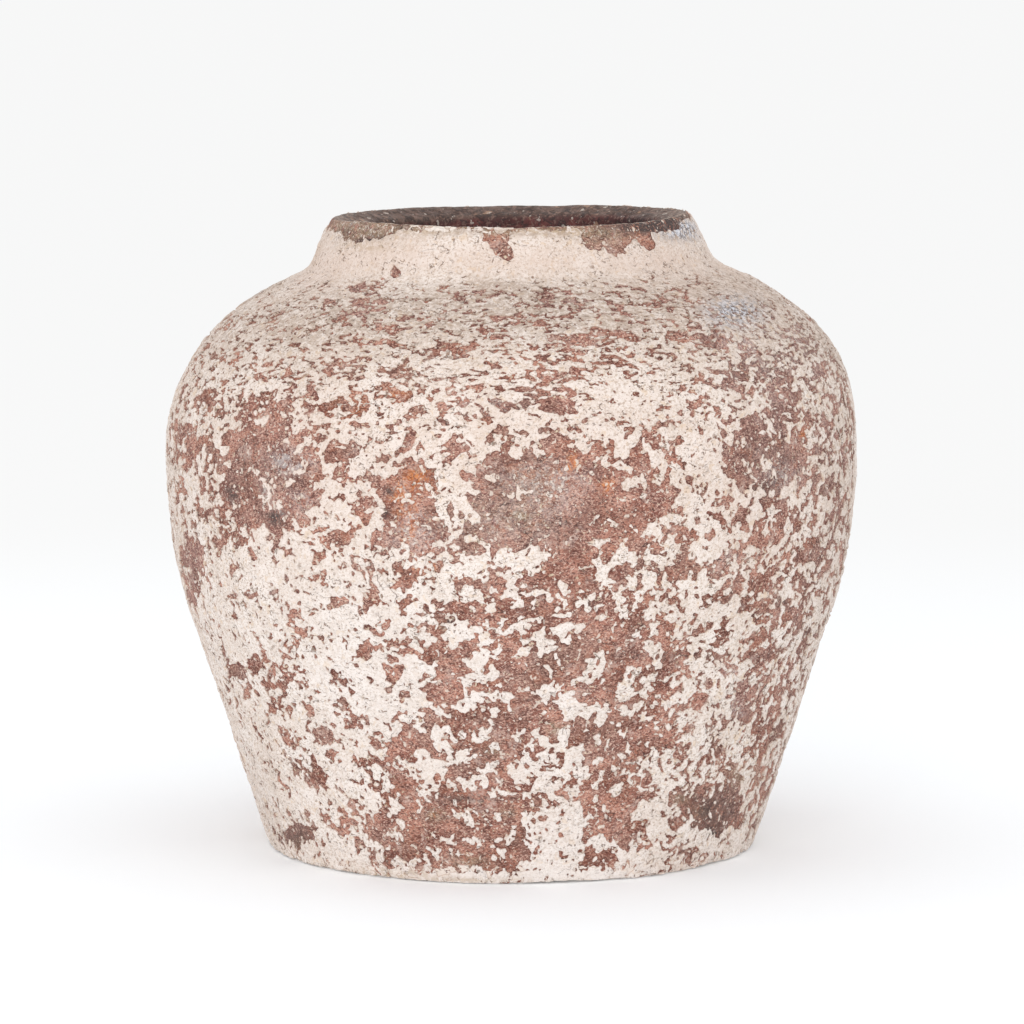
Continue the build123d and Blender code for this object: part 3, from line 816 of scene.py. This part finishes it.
def lime_band(name, node_name, low, high, first, last, pitch):
    """A stretch of the coat: its cut sheet is rolled on to the leaning pot."""
    piece = cut_sheet(name, run_at(low), run_at(high), first, last, pitch)
    sheet = read_points(piece)
    held = np.empty(len(sheet))
    piece.data.attributes["cover"].data.foreach_get("value", held)
    around, run, top = sheet[:, 0], sheet[:, 1] / sheet_scale, sheet[:, 2]
    shape = on_outside(run)
    radius, height, over, up = shape.T
    base = np.column_stack([radius * np.sin(around), -radius * np.cos(around), height])
    out = np.column_stack([over * np.sin(around), -over * np.cos(around), up])
    lumps = 1 + 0.15 * waves(base, 0.005, 2, 0.7, 4.0) + 0.10 * waves(base, 0.014, 1, 0.7, 8.0)
    # It is thinnest at its broken edges
    thickness = coat_thickness * (0.6 + eased(held / 0.5, 0.4)) * np.clip(lumps, 0.4, 1.6)
    # The under side of the coat lies half a millimetre deep in the clay
    bedding = 0.0005
    lift = np.where(top > 0.5, clay_relief(base) + thickness, -bedding)
    write_points(piece, on_ground(leaned(base + out * lift[:, None])))
    lime_colours(piece)
    bpy.ops.object.shade_smooth_by_angle(angle=radians(45))
    piece.data.materials.append(chalky_lime)
    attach(piece, "root")
    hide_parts(node_name)


# Stains, painted light and painted shade of the lime in front. Each spot: as for hand_spots
lime_stains = {
    # Soil, and painted shade: on the upward-facing shoulder and the right of the collar the darker lime
    # stands in for shade
    "soil": [
        (512, 305, 120, 22, 0.9), (440, 320, 190, 36, 0.7), (650, 310, 110, 30, 0.7),
        (300, 330, 80, 40, 0.6), (488, 292, 26, 12, 0.8), (760, 330, 70, 50, 0.5), (180, 480, 20, 120, 0.3),
        (840, 500, 26, 160, 0.4), (448, 232, 50, 4, 0.9), (550, 233, 64, 5, 1), (368, 232, 40, 14, 0.8),
        (620, 236, 44, 10, 0.7), (262, 800, 20, 60, 0.3), (671, 220, 14, 4, 1), (752, 284, 56, 20, 0.9),
        (680, 238, 24, 3, 0.9), (684, 217, 20, 4, 1), (820, 330, 30, 30, 0.4), (215, 330, 30, 40, 0.4),
    ],
    "blush": [
        (380, 255, 60, 22, 0.7), (650, 262, 70, 20, 0.8), (310, 270, 40, 30, 0.7), (720, 300, 60, 30, 0.6),
        (510, 258, 80, 20, 0.7), (300, 460, 90, 90, 0.7), (540, 450, 130, 80, 0.65),
        (760, 480, 80, 100, 0.5), (350, 877, 90, 7, 0.5), (700, 870, 60, 8, 0.5),
    ],
    "salt": [(684, 229, 22, 9, 1.4), (733, 312, 26, 14, 1)],
    "ochre": [
        (560, 231, 50, 4, 1), (420, 231, 40, 4, 0.7), (612, 237, 24, 6, 0.6), (368, 246, 30, 5, 0.6),
        (385, 874, 45, 5, 0.9), (470, 880, 50, 3, 0.6), (600, 882, 60, 2, 0.6),
    ],
    # Painted light: the lime is painted paler low in the middle and along the foot, where light falls and
    # bounces up from the floor
    "bleach": [
        (520, 879, 230, 9, 1), (480, 700, 170, 140, 0.6), (520, 850, 120, 40, 0.5), (330, 620, 80, 90, 0.3),
    ],
}


def lime_colours(piece):
    """Stains of the lime, with painted light and painted shade, kept as shares: given in front, at random
    behind.
    """
    points = read_points(piece)
    front = at_front(points)
    for name, spots in lime_stains.items():
        rarity = {"salt": 1.1, "ochre": 0.8}.get(name, 0.2)
        back = np.clip(0.6 * waves(points, 0.045, 2, 0.7, 17.0 + 5 * len(name)) - rarity, 0, 0.8)
        if name == "soil":
            # Soil has settled on the level part of the shoulder, and there it is painted shade as well
            height = points[:, 2]
            back += 0.5 * np.clip((height - 0.22) / 0.03, 0, 1) * np.clip((0.28 - height) / 0.015, 0, 1)
        share = hand_spots(points, spots) * front + back * (1 - front)
        keep_share(piece, name, np.clip(share, 0, 1))


# Chalky lime: cream, dull and sandy, with pits, straw marks, hair cracks and soil, painted light low in the
# middle and at the foot, and painted shade on the shoulder
dark_cream, light_cream = (0.755, 0.648, 0.580), (0.835, 0.745, 0.690)
cream = tinted(chalky_lime, patchy(chalky_lime, 0.42, 0.58, 0.020, 3, 0.6), dark_cream, light_cream)
dark_sand = patchy(chalky_lime, 0.48, 0.37, 0.0012, 2, 0.6, 0.6, (1, 1, 1.3), (0.4, 0, 0.2))
warm_flecks = patchy(chalky_lime, 0.59, 0.67, 0.0040, 3, 0.6, 0.6, (1, 1, 1), (0.1, 1.3, 0.6))
ochre_patches = patchy(chalky_lime, 0.42, 0.54, 0.0032, 3, 0.6, 0.6)
soil_grain = speckle(chalky_lime, 0.0040, 4, 0.7, 0.8, (1, 1, 2.2))
soil_and_shade_patches = between(chalky_lime, soil_grain, 0.42, 0.60, 0.25, 1.0)
salt_patches = patchy(chalky_lime, 0.38, 0.52, 0.003, 3)
salt_dirt = patchy(chalky_lime, 0.47, 0.55, 0.0015, 2, 0.6, 0.5)
# Thin lime at the broken edges lets a little of the clay's warmth through
worn_edge = between(chalky_lime, stain(chalky_lime, "cover"), 0.16, 0.0, 0.0, 0.35)
# Ragged pits, in clusters, where sand has dropped out
pit_zones = patchy(chalky_lime, 0.44, 0.54, 0.016, 2, 0.5, 0.0, (1, 1, 1), (0.2, 0.4, 1.4))
sand_pits = patchy(chalky_lime, 0.385, 0.350, 0.0028, 3, 0.6, 1.2, (1, 1, 1.4), (0.5, 0.2, 0.9))
pinholes = times(chalky_lime, pit_zones, sand_pits)
# Pinholes, and short straw marks in two directions. Each row: turn, stretch, spacing in metres
for turn, stretch, spacing in (
    ((0.3, 0.2, 0), (1, 1, 1), 0.0030),
    ((1.1, 0.5, 0.4), (1, 1, 0.45), 0.0027),
    ((-0.7, 1.2, 1.9), (1, 1, 0.5), 0.0031),
):
    straight = node(chalky_lime, "TexCoord").outputs["Object"]
    turned = node(chalky_lime, "Mapping", {"Vector": straight, "Rotation": turn, "Scale": stretch})
    pits = node(chalky_lime, "TexVoronoi", {"Vector": turned.outputs[0], "Scale": 1 / spacing})
    pit_size = between(chalky_lime, pits.outputs["Color"], 0.72, 1.0, 0.0, 0.22)
    beyond_pit = times(chalky_lime, pits.outputs["Distance"], pit_size, "SUBTRACT")
    pinholes = times(chalky_lime, pinholes, between(chalky_lime, beyond_pit, 0.03, -0.02), "MAXIMUM")
hair_zones = patchy(chalky_lime, 0.60, 0.64, 0.014, 2, 0.5, 0.0, (1, 1, 1), (0.6, 0.9, 0.2))
hair_cracks = cracks(chalky_lime, speckle(chalky_lime, 0.030, 3, 0.55, 0.4), 0.0022, 0.0006, hair_zones)
cream = layered(
    chalky_lime,
    cream,
    (patchy(chalky_lime, 0.50, 0.40, 0.0040, 4, 0.65, 0.8), 0.55, (0.680, 0.560, 0.475)),
    (patchy(chalky_lime, 0.50, 0.60, 0.0013, 2, 0.65, 0.6), 0.55, (0.890, 0.835, 0.790)),
    (dark_sand, 0.80, (0.480, 0.370, 0.290)),
    (warm_flecks, 0.55, (0.700, 0.520, 0.360)),
    # Painted light: paler lime low in the middle and along the foot
    (stain(chalky_lime, "bleach"), 0.6, (0.860, 0.800, 0.765)),
    (stain(chalky_lime, "blush"), 0.6, (0.68, 0.525, 0.445)),
    (times(chalky_lime, stain(chalky_lime, "ochre"), ochre_patches), 0.75, (0.440, 0.300, 0.160)),
    # Soil, with painted shade on the shoulder
    (times(chalky_lime, stain(chalky_lime, "soil"), soil_and_shade_patches), 0.75, (0.400, 0.300, 0.235)),
    (times(chalky_lime, stain(chalky_lime, "salt"), salt_patches), 1, (0.66, 0.67, 0.72)),
    (times(chalky_lime, stain(chalky_lime, "salt"), salt_dirt), 0.85, (0.17, 0.13, 0.12)),
    (worn_edge, 1, (0.50, 0.33, 0.25)),
    (pinholes, 0.8, (0.27, 0.16, 0.11)),
    (hair_cracks, 0.75, (0.26, 0.16, 0.12)),
)
lime_bump = relief(
    chalky_lime,
    (speckle(chalky_lime, 0.0013, 2, 0.65), 0.75),
    (speckle(chalky_lime, 0.0040, 3, 0.6), 0.8),
    (pinholes, -0.7),
    (hair_cracks, -0.6),
)
lime_dullness = between(chalky_lime, speckle(chalky_lime, 0.004, 3), 0.4, 0.6, 0.85, 1.0)
finish_surface(chalky_lime, cream, lime_dullness, lime_bump, 0.0008)

side = pi / 2
lime_band("lime_foot_front", "lime_coat_foot", coat_foot, girdle_seam, -side, side, 0.0008)
lime_band("lime_foot_back", "lime_coat_foot", coat_foot, girdle_seam, side, 3 * side, 0.0009)
lime_band("lime_belly_front", "lime_coat_belly", girdle_seam, belly_ring, -side, side, 0.0007)
lime_band("lime_belly_back", "lime_coat_belly", girdle_seam, belly_ring, side, 3 * side, 0.0008)
lime_band("lime_shoulder_front", "lime_coat_shoulder", belly_ring, shoulder_seam, -side, side, 0.0007)
lime_band("lime_crown_front", "lime_coat_shoulder", shoulder_seam, neck_corner[1], -side, side, 0.0007)
lime_band("lime_shoulder_back", "lime_coat_shoulder", belly_ring, neck_corner[1], side, 3 * side, 0.00088)
lime_band("lime_collar", "lime_coat_collar", neck_corner[1], coat_top, -pi, pi, 0.0008)

# Floor and light
# A pale studio floor with painted light around the jar, a white room all round, and one broad soft lamp
# above the camera.
bpy.ops.object.select_all(action="DESELECT")
floor_radius = 60
bpy.ops.mesh.primitive_circle_add(vertices=96, radius=floor_radius, fill_type="NGON")
floor = bpy.context.object
floor.name = floor.data.name = "studio_floor"
pale_floor = bpy.data.materials.new("pale_floor")
pale_floor.use_nodes = True
paper = pale_floor.node_tree.nodes["Principled BSDF"]
spot_place = node(pale_floor, "TexCoord").outputs["Object"]
away = node(pale_floor, "VectorMath", {0: spot_place}, operation="LENGTH").outputs["Value"]
# Painted light: near the jar the paper is painted lighter and a little blue, lifting the jar's shadow on it
# and cancelling its warm bounce; far off it is greyer
painted_light_paper, far_paper = (0.942, 0.962, 0.984), (0.862, 0.860, 0.858)
paper_with_painted_light = tinted(pale_floor, between(pale_floor, away, 0.35, 1.4), painted_light_paper, far_paper)
pale_floor.node_tree.links.new(paper_with_painted_light, paper.inputs["Base Color"])
paper.inputs["Roughness"].default_value = 1.0
paper.inputs["Emission Color"].default_value = (0.93, 0.98, 1, 1)
paper.inputs["Emission Strength"].default_value = 0.074
paper.inputs["Specular IOR Level"].default_value = 0.0
floor.data.materials.append(pale_floor)

room = bpy.data.worlds.new("white_room")
bpy.context.scene.world = room
room.use_nodes = True
room.node_tree.nodes["Background"].inputs["Color"].default_value = (1, 1, 1, 1)
room.node_tree.nodes["Background"].inputs["Strength"].default_value = 1.0

lamp_tilt, lamp_turn = radians(80), radians(-9.5)
bpy.ops.object.light_add(type="AREA", location=(-0.45, -2.7, 0.70), rotation=(lamp_tilt, 0, lamp_turn))
key_lamp = bpy.context.object
key_lamp.name = "key_lamp"
key_lamp.data.shape = "DISK"
key_lamp.data.size = 1.8
key_lamp.data.energy = 21
bpy.context.scene.view_settings.view_transform = "Standard"
